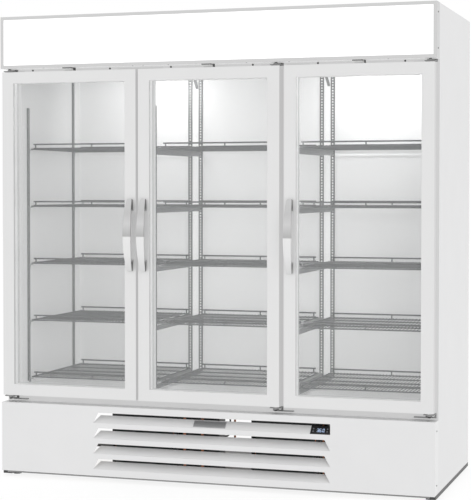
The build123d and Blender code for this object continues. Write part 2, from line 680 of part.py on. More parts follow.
def standard(x0, x1, y0, y1, high, slot_axis):
    """Upright slotted standard; the slots repeat every half inch along its height."""
    low = 400.0
    slot_height = 6.0
    slot_width = 5.0
    slot_pitch = SHELF_PITCH / 20
    bar = block(x0, x1, y0, y1, low, high)
    slots = []
    z = low + 14
    while z < high - 10:
        if slot_axis == "y":
            middle = (x0 + x1) / 2
            slots.append(block(middle - slot_width / 2, middle + slot_width / 2, y0 - 1, y1 + 1,
                               z, z + slot_height))
        else:
            middle = (y0 + y1) / 2
            slots.append(block(x0 - 1, x1 + 1, middle - slot_width / 2, middle + slot_width / 2,
                               z, z + slot_height))
        z += slot_pitch
    return bar - slots


def build_supports(levels):
    depth = 5.0
    width = 19.0
    front_width = 14.0
    pair = (292.0, 343.0)
    front_top = 1613.0
    back_top = 1774.0
    wall_standard_y = (-210.0, 282.0)
    standards = []
    for side in (-1, 1):
        x0, x1 = sorted((side * INNER_HALF, side * (INNER_HALF - depth)))
        for y, high in zip(wall_standard_y, (front_top, back_top)):
            standards.append(standard(x0, x1, y - width / 2, y + width / 2, high, "x"))
        for x in pair:
            mid_x = side * x
            for half_width, y0, high in ((width / 2, LINER_BACK - depth, back_top),
                                         (front_width / 2, MULLION_BACK, front_top)):
                standards.append(standard(mid_x - half_width, mid_x + half_width, y0, y0 + depth, high, "y"))
    save("shelf_standards", *standards, flat_faced=True)

    frame_low = WIRE - 0.6 + ROD
    flange = 2.5
    web = 3.0
    web_height = 21.0
    reach = 10.0
    arms = []
    clips = []
    for level in levels:
        seat = level - frame_low
        for side in (-1, 1):
            for x in pair:
                arm_x = side * x
                top = block(arm_x - reach, arm_x + reach, MULLION_BACK + depth, LINER_BACK - depth,
                            seat - flange, seat)
                stem = block(arm_x - web / 2, arm_x + web / 2, MULLION_BACK + depth, LINER_BACK - depth,
                             seat - flange - web_height, seat - flange)
                arms.append(top + stem)
            for y in wall_standard_y:
                wall = side * (INNER_HALF - depth)
                x0, x1 = sorted((wall, wall - side * 16))
                ledge = block(x0, x1, y - 8, y + 8, seat - 3, seat)
                x0, x1 = sorted((wall, wall - side * 3))
                clips.append(ledge + block(x0, x1, y - 8, y + 8, seat - 18, seat - 3))
    save("shelf_supports", *arms, *clips, flat_faced=True)


# ---- small fittings -----------------------------------------------------------------------
def screw(centre, direction, radius, height):
    """Domed screw head standing on a face."""
    start = Vector(*centre)
    end = start + Vector(*direction) * height
    return rod(tuple(start), tuple(end), radius)


def build_screws():
    heads = []
    strip_z = 1769.5
    for middle in STRIP_SCREW_CENTRES:
        for offset in (-181.0, 181.0):
            heads.append(screw((middle + offset, CABINET_FRONT, strip_z), (0, -1, 0), 4.0, 2.5))
    for side in (-1, 1):
        for z in (HEADER_BOTTOM + 40, HEIGHT - 40):
            heads.append(screw((side * HALF, FRONT + 34, z), (side, 0, 0), 3.5, 1.5))
        for z in (GRILLE_BOTTOM + 40, GRILLE_TOP - 40):
            heads.append(screw((side * HALF, FRONT + 34, z), (side, 0, 0), 3.5, 1.5))
    save("trim_screws", *heads)


os.makedirs("parts", exist_ok=True)
build_doors()
build_hinges()
build_shell()
build_header()
build_grille()
build_machine(build_base())
build_evaporator()
build_supports(build_shelves())
build_screws()
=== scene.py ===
"""Look of a three-section glass-door reach-in refrigerator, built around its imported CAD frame. Metres."""
import math

import bmesh
import bpy
from mathutils import Matrix, Vector


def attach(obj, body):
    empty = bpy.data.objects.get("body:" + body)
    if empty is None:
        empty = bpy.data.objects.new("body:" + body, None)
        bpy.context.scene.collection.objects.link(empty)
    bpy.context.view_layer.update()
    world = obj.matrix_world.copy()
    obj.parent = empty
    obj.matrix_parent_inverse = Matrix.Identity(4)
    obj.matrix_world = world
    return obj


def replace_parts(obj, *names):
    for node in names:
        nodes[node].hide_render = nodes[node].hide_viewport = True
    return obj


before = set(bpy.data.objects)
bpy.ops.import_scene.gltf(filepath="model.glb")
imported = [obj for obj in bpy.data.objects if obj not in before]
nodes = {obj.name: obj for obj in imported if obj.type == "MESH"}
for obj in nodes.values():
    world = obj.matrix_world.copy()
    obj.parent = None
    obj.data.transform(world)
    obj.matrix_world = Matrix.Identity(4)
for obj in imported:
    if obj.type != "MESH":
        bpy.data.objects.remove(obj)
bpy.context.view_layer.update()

DOORS = ("left", "middle", "right")
WHITE = (1, 1, 1, 1)
SHADE = (0.14, 0.14, 0.14, 1)     # tone of the faces that are turned from the light

# shelves and the standards that carry them
SECTION_MIDDLES = (-0.616, 0.0, 0.616)
SHELF_LEVELS = [0.421 + 0.254 * k for k in range(5)]
SHELF_MIDDLE_Y = 0.0705
STANDARD_FOOT, FRONT_STANDARD_TOP, REAR_STANDARD_TOP = 0.400, 1.613, 1.774
WALL_X, BACK_WALL_Y, MULLION_BACK_Y = 0.908, 0.362, -0.244

# pull handles
HANDLE_FOOT, HANDLE_MIDDLE, HANDLE_TOP = 0.905, 1.059, 1.213

# machine bay and base panel
CONDENSER_FANS = (-0.3085, 0.315)
FAN_Z = 0.1685
COMPRESSORS, COMPRESSOR_Y = (-0.210, 0.360), 0.060
LOUVRE_TOP, LOUVRE_LEAN = (0, -0.3845, 0.254), math.radians(-45)
CONTROLLER_FACE, DIGIT_FACE = -0.3842, -0.38462    # before the louvre leans

# door hinges: pin centre of the left, middle and right door
HINGE_PINS, PIN_Y = (-0.9225, 0.2835, 0.923), -0.358

# rear panel
REAR_SKIN_Y, REAR_SEAM_Y = 0.4308, 0.4322


# ---- meshes -------------------------------------------------------------------------------
def new_piece(name, bm, material, body="cabinet"):
    """Turn a bmesh into a piece that rides on a body."""
    mesh = bpy.data.meshes.new(name)
    bmesh.ops.recalc_face_normals(bm, faces=bm.faces)
    bm.to_mesh(mesh)
    bm.free()
    piece = bpy.data.objects.new(name, mesh)
    bpy.context.scene.collection.objects.link(piece)
    mesh.materials.append(material)
    if body:
        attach(piece, body)
    return piece


def add_box(bm, low, high, matrix=None, material_index=0):
    """Add a closed box between two corners."""
    size = Vector(high) - Vector(low)
    middle = (Vector(high) + Vector(low)) / 2
    place = Matrix.Translation(middle) @ Matrix.Diagonal((*size, 1))
    if matrix:
        place = matrix @ place
    made = bmesh.ops.create_cube(bm, size=1, matrix=place)
    for face in {f for v in made["verts"] for f in v.link_faces}:
        face.material_index = material_index


def add_rod(bm, start, end, radius, sides):
    """Add a closed round or polygonal bar between two points."""
    a, b = Vector(start), Vector(end)
    turn = (b - a).to_track_quat("Z", "Y").to_matrix().to_4x4()
    place = Matrix.Translation((a + b) / 2) @ turn
    made = bmesh.ops.create_cone(bm, cap_ends=True, segments=sides, radius1=radius, radius2=radius,
                                 depth=(b - a).length, matrix=place)
    for face in {f for v in made["verts"] for f in v.link_faces}:
        face.smooth = len(face.verts) == 4


def circle_points(radius, height, sides):
    """Points of a level circle about local Z."""
    return [Vector((radius * math.cos(a), radius * math.sin(a), height))
            for a in [2 * math.pi * k / sides for k in range(sides)]]


def skin_rings(bm, rings):
    """Join rings of vertices, one after the other, into a smooth skin with flat ends."""
    for low, high in zip(rings, rings[1:]):
        for k in range(len(low)):
            after = (k + 1) % len(low)
            bm.faces.new((low[k], low[after], high[after], high[k])).smooth = True
    bm.faces.new(list(reversed(rings[0])))
    bm.faces.new(rings[-1])


def add_turned(bm, profile, matrix, sides):
    """Add a solid of revolution about local Z from (radius, height) pairs, closed at both ends."""
    skin_rings(bm, [[bm.verts.new(matrix @ point) for point in circle_points(radius, height, sides)]
                    for radius, height in profile])


def add_pipe(bm, points, radius, sides=8):
    """Add a bent tube through points, closed at both ends."""
    points = [Vector(point) for point in points]
    rings = []
    for index, point in enumerate(points):
        ahead = points[min(index + 1, len(points) - 1)] - points[max(index - 1, 0)]
        turn = ahead.to_track_quat("Z", "Y")
        rings.append([bm.verts.new(point + turn @ offset) for offset in circle_points(radius, 0, sides)])
    skin_rings(bm, rings)


def add_screw(bm, place, direction, radius, height):
    """Add a domed screw head with a cross recess, standing on a face."""
    turn = Vector(direction).to_track_quat("Z", "Y").to_matrix().to_4x4()
    matrix = Matrix.Translation(Vector(place)) @ turn
    add_turned(bm, [(radius, -0.0005), (radius, height * 0.4), (radius * 0.8, height * 0.8),
                    (radius * 0.4, height), (radius * 0.05, height)], matrix, sides=14)
    for long_x, long_y in ((radius * 0.55, radius * 0.12), (radius * 0.12, radius * 0.55)):
        add_box(bm, (-long_x, -long_y, height * 0.9), (long_x, long_y, height + 0.0002), matrix,
                material_index=1)


def weld(piece):
    """Join a mitred piece's touching corners, so that only its outer edges are rounded."""
    modifier = piece.modifiers.new("corners", "WELD")
    modifier.merge_threshold = 0.0001


def bevel(piece, width, segments=2, angle=40):
    """Round a piece's sharp edges."""
    modifier = piece.modifiers.new("edges", "BEVEL")
    modifier.width = width
    modifier.segments = segments
    modifier.limit_method = "ANGLE"
    modifier.angle_limit = math.radians(angle)


# ---- materials ----------------------------------------------------------------------------
def surface(name, color, roughness, metallic=0.0, vary=0.03, vary_scale=6.0, grain=300.0, bump=0.02,
            stretch=(1, 1, 1), rough_vary=0.06, coat=0.0, edge=0.0, alpha=1.0, emission=0.0,
            specular=0.5):
    """Procedural surface: slow colour drift, fine grain in bump and roughness, and lighter worn edges."""
    made = bpy.data.materials.new(name)
    made.use_nodes = True
    tree = made.node_tree
    shader = tree.nodes["Principled BSDF"]
    link = tree.links.new
    shader.inputs["Metallic"].default_value = metallic
    shader.inputs["Coat Weight"].default_value = coat
    shader.inputs["Coat Roughness"].default_value = 0.12
    shader.inputs["Alpha"].default_value = alpha
    shader.inputs["Specular IOR Level"].default_value = specular
    place = tree.nodes.new("ShaderNodeTexCoord")
    mapping = tree.nodes.new("ShaderNodeMapping")
    mapping.inputs["Scale"].default_value = stretch
    link(place.outputs["Object"], mapping.inputs["Vector"])

    drift = tree.nodes.new("ShaderNodeTexNoise")
    drift.inputs["Scale"].default_value = vary_scale
    drift.inputs["Detail"].default_value = 6.0
    link(mapping.outputs["Vector"], drift.inputs["Vector"])
    ramp = tree.nodes.new("ShaderNodeValToRGB")
    ramp.color_ramp.elements[0].position = 0.3
    ramp.color_ramp.elements[1].position = 0.7
    ramp.color_ramp.elements[0].color = (*[max(c * (1 - vary), 0) for c in color], 1)
    ramp.color_ramp.elements[1].color = (*[min(c * (1 + vary), 1) for c in color], 1)
    link(drift.outputs["Fac"], ramp.inputs["Fac"])
    colour_out = ramp.outputs["Color"]
    if edge:
        rim = tree.nodes.new("ShaderNodeNewGeometry")
        band = tree.nodes.new("ShaderNodeMapRange")
        band.inputs["From Min"].default_value = 0.52
        band.inputs["From Max"].default_value = 0.62
        band.inputs["To Max"].default_value = edge
        link(rim.outputs["Pointiness"], band.inputs["Value"])
        mix = tree.nodes.new("ShaderNodeMix")
        mix.data_type = "RGBA"
        mix.inputs["B"].default_value = (*[min(c + 0.25, 1.0) for c in color], 1)
        link(band.outputs["Result"], mix.inputs["Factor"])
        link(colour_out, mix.inputs["A"])
        colour_out = mix.outputs["Result"]
    link(colour_out, shader.inputs["Base Color"])
    if emission:
        link(colour_out, shader.inputs["Emission Color"])
        shader.inputs["Emission Strength"].default_value = emission

    fine = tree.nodes.new("ShaderNodeTexNoise")
    fine.inputs["Scale"].default_value = grain
    fine.inputs["Detail"].default_value = 3.0
    link(mapping.outputs["Vector"], fine.inputs["Vector"])
    polish = tree.nodes.new("ShaderNodeMapRange")
    polish.inputs["To Min"].default_value = max(roughness - rough_vary, 0.02)
    polish.inputs["To Max"].default_value = min(roughness + rough_vary, 1.0)
    link(fine.outputs["Fac"], polish.inputs["Value"])
    link(polish.outputs["Result"], shader.inputs["Roughness"])
    relief = tree.nodes.new("ShaderNodeBump")
    relief.inputs["Strength"].default_value = bump
    relief.inputs["Distance"].default_value = 0.001
    link(fine.outputs["Fac"], relief.inputs["Height"])
    link(relief.outputs["Normal"], shader.inputs["Normal"])
    return made


# painted shade: the side panels are a darker copy of the shell white, for the lower light on the cabinet's
# side
shaded_side_white = surface("shaded_side_white", (0.735, 0.735, 0.738), 0.42, vary=0.01, grain=500, bump=0.05, coat=0.1)
shell_white = surface("shell_white", (0.77, 0.77, 0.773), 0.42, vary=0.01, grain=500, bump=0.05, coat=0.1)
# painted light: the liner glows a little to lift its shade inside the cabinet
liner_white = surface("liner_white", (0.80, 0.80, 0.80), 0.5, vary=0.01, bump=0.02, emission=0.18)
# painted light: the front frame strips and the plates on them are dark, with a strong glow that lifts their
# shade in the recesses to an even pale grey
strip_grey = surface("strip_grey", (0.20, 0.20, 0.20), 0.5, vary=0.015, bump=0.02, emission=2.3)
plate_strip_glow = surface("plate_strip_glow", (0.18, 0.18, 0.18), 0.5, vary=0.015, bump=0.02, emission=2.3)
# painted shadow: dark grey for the rod that lines the base panel's lower edge
lip_shadow = surface("lip_shadow", (0.30, 0.30, 0.30), 0.5, vary=0.02, bump=0.02)
cover_grey = surface("cover_grey", (0.18, 0.18, 0.18), 0.5, vary=0.02, bump=0.02)
# painted light: the glass spacers glow, which makes them look pale
spacer_glow = surface("spacer_glow", (0.5, 0.5, 0.5), 0.4, vary=0.02, bump=0.02, emission=0.7)
sign_grey = surface("sign_grey", (0.62, 0.62, 0.62), 0.4, vary=0.01, bump=0.02)
sign_white = surface("sign_white", (1.0, 1.0, 1.0), 0.3, vary=0.0, grain=900, bump=0.01, emission=0.35)
# painted light: the gaskets glow a little to lift the shade in the gaps between the doors
gasket_grey = surface("gasket_grey", (0.55, 0.55, 0.55), 0.7, vary=0.03, bump=0.1, emission=0.4)
glass = surface("glass", (0.9, 0.93, 0.93), 0.03, vary=0.01, rough_vary=0.01, bump=0.0, alpha=0.05)
wire_grey = surface("wire_grey", (0.09, 0.09, 0.092), 0.5, metallic=0.1, vary=0.08, vary_scale=30,
                    bump=0.05)
steel = surface("steel", (0.30, 0.30, 0.30), 0.35, metallic=0.6, vary=0.05, stretch=(1, 1, 0.1),
                bump=0.05)
dark_steel = surface("dark_steel", (0.05, 0.05, 0.05), 0.4, metallic=0.5, vary=0.1, bump=0.05)
standard_steel = surface("standard_steel", (0.14, 0.14, 0.14), 0.4, metallic=0.2, vary=0.04, bump=0.04)
# painted light: a glowing strip behind the standards' slots, for the light seen through them
slot_glow = surface("slot_glow", (0.5, 0.5, 0.5), 0.5, vary=0.2, vary_scale=9, bump=0.02, emission=0.9)
support_steel = surface("support_steel", (0.30, 0.30, 0.305), 0.45, metallic=0.2, vary=0.04, bump=0.04)
galvanised = surface("galvanised", (0.50, 0.51, 0.52), 0.42, metallic=0.8, vary=0.08, vary_scale=22,
                     bump=0.03, rough_vary=0.12)
black_steel = surface("black_steel", (0.015, 0.015, 0.015), 0.45, vary=0.2, bump=0.08, edge=0.15)
black_plastic = surface("black_plastic", (0.008, 0.008, 0.009), 0.4, vary=0.1, bump=0.05)
foot_black = surface("foot_black", (0.02, 0.02, 0.02), 0.7, vary=0.2, bump=0.15)
# painted light: the plastic fittings glow a little to lift their shade
fitting_plastic = surface("fitting_plastic", (0.74, 0.74, 0.735), 0.45, vary=0.01, bump=0.04,
                          emission=0.2)
foam = surface("foam", (0.78, 0.66, 0.42), 0.9, vary=0.08, vary_scale=60, grain=120, bump=0.4)
copper = surface("copper", (0.72, 0.30, 0.15), 0.3, metallic=1.0, vary=0.12, vary_scale=25, bump=0.04)
fin_metal = surface("fin_metal", (0.11, 0.13, 0.125), 0.45, metallic=0.3, vary=0.06, vary_scale=20,
                    bump=0.05)
motor_grey = surface("motor_grey", (0.12, 0.12, 0.125), 0.5, metallic=0.4, vary=0.1, bump=0.1)
plate_grey = surface("plate_grey", (0.44, 0.44, 0.45), 0.35, metallic=0.5, vary=0.05,
                     stretch=(0.2, 6, 6), bump=0.05)
plate_dark = surface("plate_dark", (0.32, 0.325, 0.33), 0.4, metallic=0.5, vary=0.06,
                     stretch=(0.2, 6, 6), bump=0.05)
lamp_white = surface("lamp_white", (1.0, 1.0, 0.98), 0.3, vary=0.0, bump=0.01, emission=1.2)
display_glow = surface("display_glow", (0.55, 0.68, 0.9), 0.4, vary=0.02, bump=0.0, emission=0.8)
icon_grey = surface("icon_grey", (0.16, 0.17, 0.19), 0.5, vary=0.02, bump=0.0, emission=0.1)
floor_pale = surface("floor_pale", (0.16, 0.16, 0.16), 0.9, vary=0.0, grain=40, bump=0.0, specular=0.0)
floor_shader = floor_pale.node_tree.nodes["Principled BSDF"]
floor_shader.inputs["Emission Color"].default_value = WHITE
floor_shader.inputs["Emission Strength"].default_value = 0.86


def map_range(tree, source, low, high):
    """0 to 1 as a value goes from low to high."""
    amount = tree.nodes.new("ShaderNodeMapRange")
    amount.inputs["From Min"].default_value = low
    amount.inputs["From Max"].default_value = high
    tree.links.new(source, amount.inputs["Value"])
    return amount.outputs["Result"]


def math_node(tree, operation, first, second=None):
    """Result of a Math node; its second value is a number or another node's result."""
    node = tree.nodes.new("ShaderNodeMath")
    node.operation = operation
    tree.links.new(first, node.inputs[0])
    if isinstance(second, float):
        node.inputs[1].default_value = second
    elif second is not None:
        tree.links.new(second, node.inputs[1])
    return node.outputs["Value"]


def facing_amount(tree, axis, low, high):
    """0 to 1 as a face turns towards an axis."""
    normal = tree.nodes.new("ShaderNodeTexCoord")
    split = tree.nodes.new("ShaderNodeSeparateXYZ")
    tree.links.new(normal.outputs["Normal"], split.inputs["Vector"])
    return map_range(tree, split.outputs[axis], low, high)


def shade_where(tree, amount, base):
    """Darken the shader's base colour by an amount of 0 to 1."""
    mix = tree.nodes.new("ShaderNodeMix")
    mix.data_type = "RGBA"
    mix.inputs["B"].default_value = SHADE
    tree.links.new(amount, mix.inputs["Factor"])
    tree.links.new(base, mix.inputs["A"])
    tree.links.new(mix.outputs["Result"], tree.nodes["Principled BSDF"].inputs["Base Color"])


def glow_where(tree, amount, strength):
    """White glow that grows with an amount of 0 to 1."""
    shader = tree.nodes["Principled BSDF"]
    shader.inputs["Emission Color"].default_value = WHITE
    tree.links.new(math_node(tree, "MULTIPLY", amount, strength), shader.inputs["Emission Strength"])


def door_surface():
    """White door profile whose right-hand side faces get painted shade and a painted glow, so that they
    keep an even shade, in the narrow gaps too.
    """
    made = surface("door_white", (0.755, 0.755, 0.755), 0.38, vary=0.008, bump=0.03, coat=0.1)
    tree = made.node_tree
    # painted shade and painted light on the faces turned to the right
    side = facing_amount(tree, "X", 0.6, 0.95)
    base = tree.nodes["Principled BSDF"].inputs["Base Color"].links[0].from_socket
    shade_where(tree, side, base)
    glow_where(tree, side, 0.37)
    return made


def header_surface():
    """White header sheet whose underside glows with painted light, standing in for light from the sign."""
    made = surface("header_white", (0.60, 0.60, 0.603), 0.42, vary=0.01, grain=500, bump=0.05)
    tree = made.node_tree
    # painted light on the downward faces
    glow_where(tree, facing_amount(tree, "Z", -0.5, -0.9), 0.34)
    return made


def handle_surface():
    """Satin handle with a painted reflection, a soft horizon through its middle, and painted shade on the
    right of the feet.
    """
    made = surface("handle_metal", (0.58, 0.58, 0.585), 0.35, metallic=0.15, vary=0.01, grain=120,
                   stretch=(6, 6, 0.4), bump=0.02)
    tree = made.node_tree
    coords = tree.nodes.new("ShaderNodeTexCoord")
    split = tree.nodes.new("ShaderNodeSeparateXYZ")
    tree.links.new(coords.outputs["Object"], split.inputs["Vector"])
    height = split.outputs["Z"]
    # painted reflection: light and dark bands up the handle stand in for the horizon mirrored in it
    reflection_bands = tree.nodes.new("ShaderNodeValToRGB")
    stops = reflection_bands.color_ramp.elements
    stops[0].position, stops[1].position = 0.0, 1.0
    stops[0].color, stops[1].color = (0.66, 0.66, 0.66, 1), (0.60, 0.60, 0.60, 1)
    for place, value in ((0.25, 0.78), (0.475, 0.80), (0.49, 0.44), (0.56, 0.52), (0.66, 0.62),
                         (0.8, 0.54)):
        stops.new(place).color = (value, value, value, 1)
    tree.links.new(map_range(tree, height, HANDLE_FOOT, HANDLE_TOP), reflection_bands.inputs["Fac"])
    from_middle = math_node(tree, "ABSOLUTE", math_node(tree, "SUBTRACT", height, HANDLE_MIDDLE))
    foot = map_range(tree, from_middle, 0.095, 0.115)
    # painted shade on the right-hand faces of the feet
    painted_foot_shade = math_node(tree, "MULTIPLY", facing_amount(tree, "X", 0.5, 0.9), foot)
    shade_where(tree, painted_foot_shade, reflection_bands.outputs["Color"])
    return made


handle_metal = handle_surface()
header_white = header_surface()
door_white = door_surface()

NODE_LOOKS = {
    "base_frame": black_steel, "base_grille": shell_white, "compressors": black_steel,
    "condenser_casings": black_plastic, "condenser_coils": fin_metal, "condenser_fan_left": black_plastic,
    "condenser_fan_motors": motor_grey, "condenser_fan_right": black_plastic,
    "door_sensors": fitting_plastic, "evaporator_coil": fin_metal, "evaporator_cover": cover_grey,
    "evaporator_fan_left": black_plastic, "evaporator_fan_motors": motor_grey,
    "evaporator_fan_right": black_plastic, "front_frame": strip_grey, "header_housing": header_white,
    "header_trim": sign_grey, "hinge_brackets": steel, "insulation": foam, "lamps": lamp_white,
    "levelling_feet": foot_black, "liner": liner_white, "name_plate": plate_dark,
    "rear_panel": galvanised, "refrigerant_pipes": copper, "shelf_standards": standard_steel,
    "shelf_supports": support_steel, "side_panel_left": shaded_side_white, "side_panel_right": shaded_side_white,
    "sign_panel": sign_white, "temperature_controller": black_plastic, "top_panel": shell_white,
    "trim_screws": steel,
}
for section in DOORS:
    NODE_LOOKS[f"door_{section}_frame"] = door_white
    NODE_LOOKS[f"door_{section}_glass_unit"] = glass
    NODE_LOOKS[f"door_{section}_gasket"] = gasket_grey
    NODE_LOOKS[f"door_{section}_handle"] = handle_metal
    for number in range(1, len(SHELF_LEVELS) + 1):
        NODE_LOOKS[f"wire_shelf_{section}_{number}"] = wire_grey

for name, node in nodes.items():
    node.data.materials.clear()
    node.data.materials.append(NODE_LOOKS[name])

EDGE_RADII = {
    "header_trim": 0.0012, "header_housing": 0.0015, "temperature_controller": 0.0015,
    "door_sensors": 0.0012, "hinge_brackets": 0.0006, "name_plate": 0.0004, "condenser_casings": 0.002,
    "base_frame": 0.001,
}
weld(nodes["header_trim"])
for name, radius in EDGE_RADII.items():
    bevel(nodes[name], radius)
for door in DOORS:
    weld(nodes[f"door_{door}_frame"])
    bevel(nodes[f"door_{door}_frame"], 0.0012)
    bevel(nodes[f"door_{door}_handle"], 0.0015, segments=3, angle=50)


# ---- wire shelves -------------------------------------------------------------------------
def shelf_mesh():
    """Round-wire shelf about its own middle, wire tops at z = 0, with a low lip front and back."""
    bm = bmesh.new()
    half_x, half_y = 0.284, 0.2655
    wire, rod, lip = 0.0016, 0.003, 0.0033
    wire_pitch, wires_each_side, cross_rods = 0.015, 18, 5
    lip_half_x, lip_z = 0.272, 0.015
    rod_z = -2 * wire + 0.0004 - rod
    for index in range(cross_rods):
        y = -half_y + rod + index * (2 * half_y - 2 * rod) / (cross_rods - 1)
        add_rod(bm, (-half_x, y, rod_z), (half_x, y, rod_z), rod, 8)
    for side in (-1, 1):
        x = side * (half_x - rod)
        add_rod(bm, (x, -half_y + rod, rod_z), (x, half_y - rod, rod_z), rod, 8)
    for index in range(-wires_each_side, wires_each_side + 1):
        x = wire_pitch * index
        add_rod(bm, (x, -half_y + 0.001, -wire), (x, half_y - 0.001, -wire), wire, 8)
    for side in (-1, 1):
        y = side * (half_y - lip)
        add_rod(bm, (-lip_half_x, y, lip_z), (lip_half_x, y, lip_z), lip, 8)
        for x in (-0.2625, 0.0075, 0.2625):
            add_rod(bm, (x, y, rod_z), (x, y, lip_z), rod, 8)
    mesh = bpy.data.meshes.new("wire_shelf")
    bm.to_mesh(mesh)
    bm.free()
    mesh.materials.append(wire_grey)
    return mesh


def standard_places():
    """Where each standard stands: its transform, width and top."""
    found = []
    for side in (-1, 1):
        for y, top in ((-0.210, FRONT_STANDARD_TOP), (0.282, REAR_STANDARD_TOP)):
            found.append((Vector((side * WALL_X, y, 0)), -90 * side, 0.019, top))
        for x in (0.292, 0.343):
            found.append((Vector((side * x, BACK_WALL_Y, 0)), 0, 0.019, REAR_STANDARD_TOP))
            found.append((Vector((side * x, MULLION_BACK_Y, 0)), 180, 0.014, FRONT_STANDARD_TOP))
    return [(Matrix.Translation(place) @ Matrix.Rotation(math.radians(turn), 4, "Z"), width, top)
            for place, turn, width, top in found]


def build_standards():
    """Slotted standards: two flanges joined by rungs, with a glowing strip behind the half-inch slots,
    painted light seen through them.
    """
    steel_bm = bmesh.new()
    slot_glow_bm = bmesh.new()
    pitch, slot = 0.0127, 0.0062
    depth, web_back, half_slot = 0.005, 0.0034, 0.0034
    first_slot, end_margin = 0.014, 0.024
    for matrix, width, top in standard_places():
        half = width / 2
        for x0, x1 in ((-half, -half_slot), (half_slot, half)):
            add_box(steel_bm, (x0, -depth, STANDARD_FOOT), (x1, 0.0, top), matrix)
        edge = STANDARD_FOOT
        for k in range(int((top - STANDARD_FOOT - end_margin) / pitch) + 1):
            z = STANDARD_FOOT + first_slot + k * pitch
            add_box(steel_bm, (-half_slot, -depth, edge), (half_slot, -web_back, z), matrix)
            edge = z + slot
        add_box(steel_bm, (-half_slot, -depth, edge), (half_slot, -web_back, top), matrix)
        add_box(slot_glow_bm, (-half_slot, -0.0028, STANDARD_FOOT + 0.002), (half_slot, -0.0004, top - 0.002),
                matrix)
    steel_piece = new_piece("standards", steel_bm, standard_steel)
    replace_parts(steel_piece, "shelf_standards")
    new_piece("standard_slot_glow", slot_glow_bm, slot_glow)


def place_shelves():
    """One shared mesh in the place of every CAD shelf."""
    shared_shelf = shelf_mesh()
    for section, x in zip(DOORS, SECTION_MIDDLES):
        for number, z in enumerate(SHELF_LEVELS, start=1):
            shelf = bpy.data.objects.new(f"shelf_wires_{section}_{number}", shared_shelf)
            shelf.location = (x, SHELF_MIDDLE_Y, z)
            bpy.context.scene.collection.objects.link(shelf)
            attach(shelf, "cabinet")
            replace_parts(shelf, f"wire_shelf_{section}_{number}")


# ---- refrigeration units ------------------------------------------------------------------
def add_coil(fins, tubes, low, high, pitch, rows):
    """Finned coil between two corners: thin plates, end plates, tubes across and return bends."""
    (x0, y0, z0), (x1, y1, z1) = low, high
    end_space, half_fin, half_end_plate, radius = 0.014, 0.00025, 0.001, 0.0047
    count = int((x1 - x0 - 2 * end_space) / pitch)
    for index in range(count + 1):
        x = x0 + end_space + index * pitch
        add_box(fins, (x - half_fin, y0 + 0.002, z0), (x + half_fin, y1 - 0.002, z1))
    for x in (x0 + end_space - 0.002, x1 - end_space + 0.002):
        add_box(fins, (x - half_end_plate, y0, z0), (x + half_end_plate, y1, z1))
    step = (z1 - z0) / rows
    left, right = x0 + end_space - 0.003, x1 - end_space + 0.003
    for y in (y0 + (y1 - y0) * 0.28, y0 + (y1 - y0) * 0.72):
        for row in range(rows):
            z = z0 + step * (row + 0.5)
            add_rod(tubes, (left, y, z), (right, y, z), radius, 8)
        for row in range(1, rows):
            z = z0 + step * row
            x, side = (left, -1) if row % 2 else (right, 1)
            arc = [(x + side * (end_space - 0.008) * math.cos(a), y, z + step / 2 * math.sin(a))
                   for a in [math.radians(-90 + 22.5 * k) for k in range(9)]]
            add_pipe(tubes, arc, radius)


def build_coils():
    """A condenser coil in each machine bay unit and one long evaporator coil under the top."""
    condensers = (((-0.446, -0.338, 0.075), (-0.171, -0.280, 0.262)),
                  ((0.180, -0.338, 0.075), (0.450, -0.280, 0.262)))
    evaporator = (((-0.560, 0.120, 1.796), (0.560, 0.260, 1.930)),)
    for place, replaced, corners, pitch, rows in (
            ("condenser", "condenser_coils", condensers, 0.0032, 8),
            ("evaporator", "evaporator_coil", evaporator, 0.006, 6)):
        fins, tubes = bmesh.new(), bmesh.new()
        for low, high in corners:
            add_coil(fins, tubes, low, high, pitch, rows)
        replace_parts(new_piece(f"{place}_fins", fins, fin_metal), replaced)
        new_piece(f"{place}_tubes", tubes, copper)


def build_fan_guards():
    """Wire guards behind the condenser fans: rings on four spokes that stand on the casing."""
    bm = bmesh.new()
    for x in CONDENSER_FANS:
        centre = Vector((x, -0.228, FAN_Z))
        for radius in (0.052, 0.070, 0.088, 0.106):
            circle = [centre + Vector((radius * math.cos(a), 0, radius * math.sin(a)))
                      for a in [2 * math.pi * k / 36 for k in range(37)]]
            add_pipe(bm, circle, 0.0013, 6)
        for angle in (45, 135, 225, 315):
            a = math.radians(angle)
            out = Vector((math.cos(a), 0, math.sin(a)))
            foot = centre + out * 0.116
            add_pipe(bm, [centre + out * 0.050, centre + out * 0.108, foot + Vector((0, -0.006, 0)),
                          foot + Vector((0, -0.031, 0))], 0.0017, 6)
    new_piece("fan_guards", bm, black_steel)


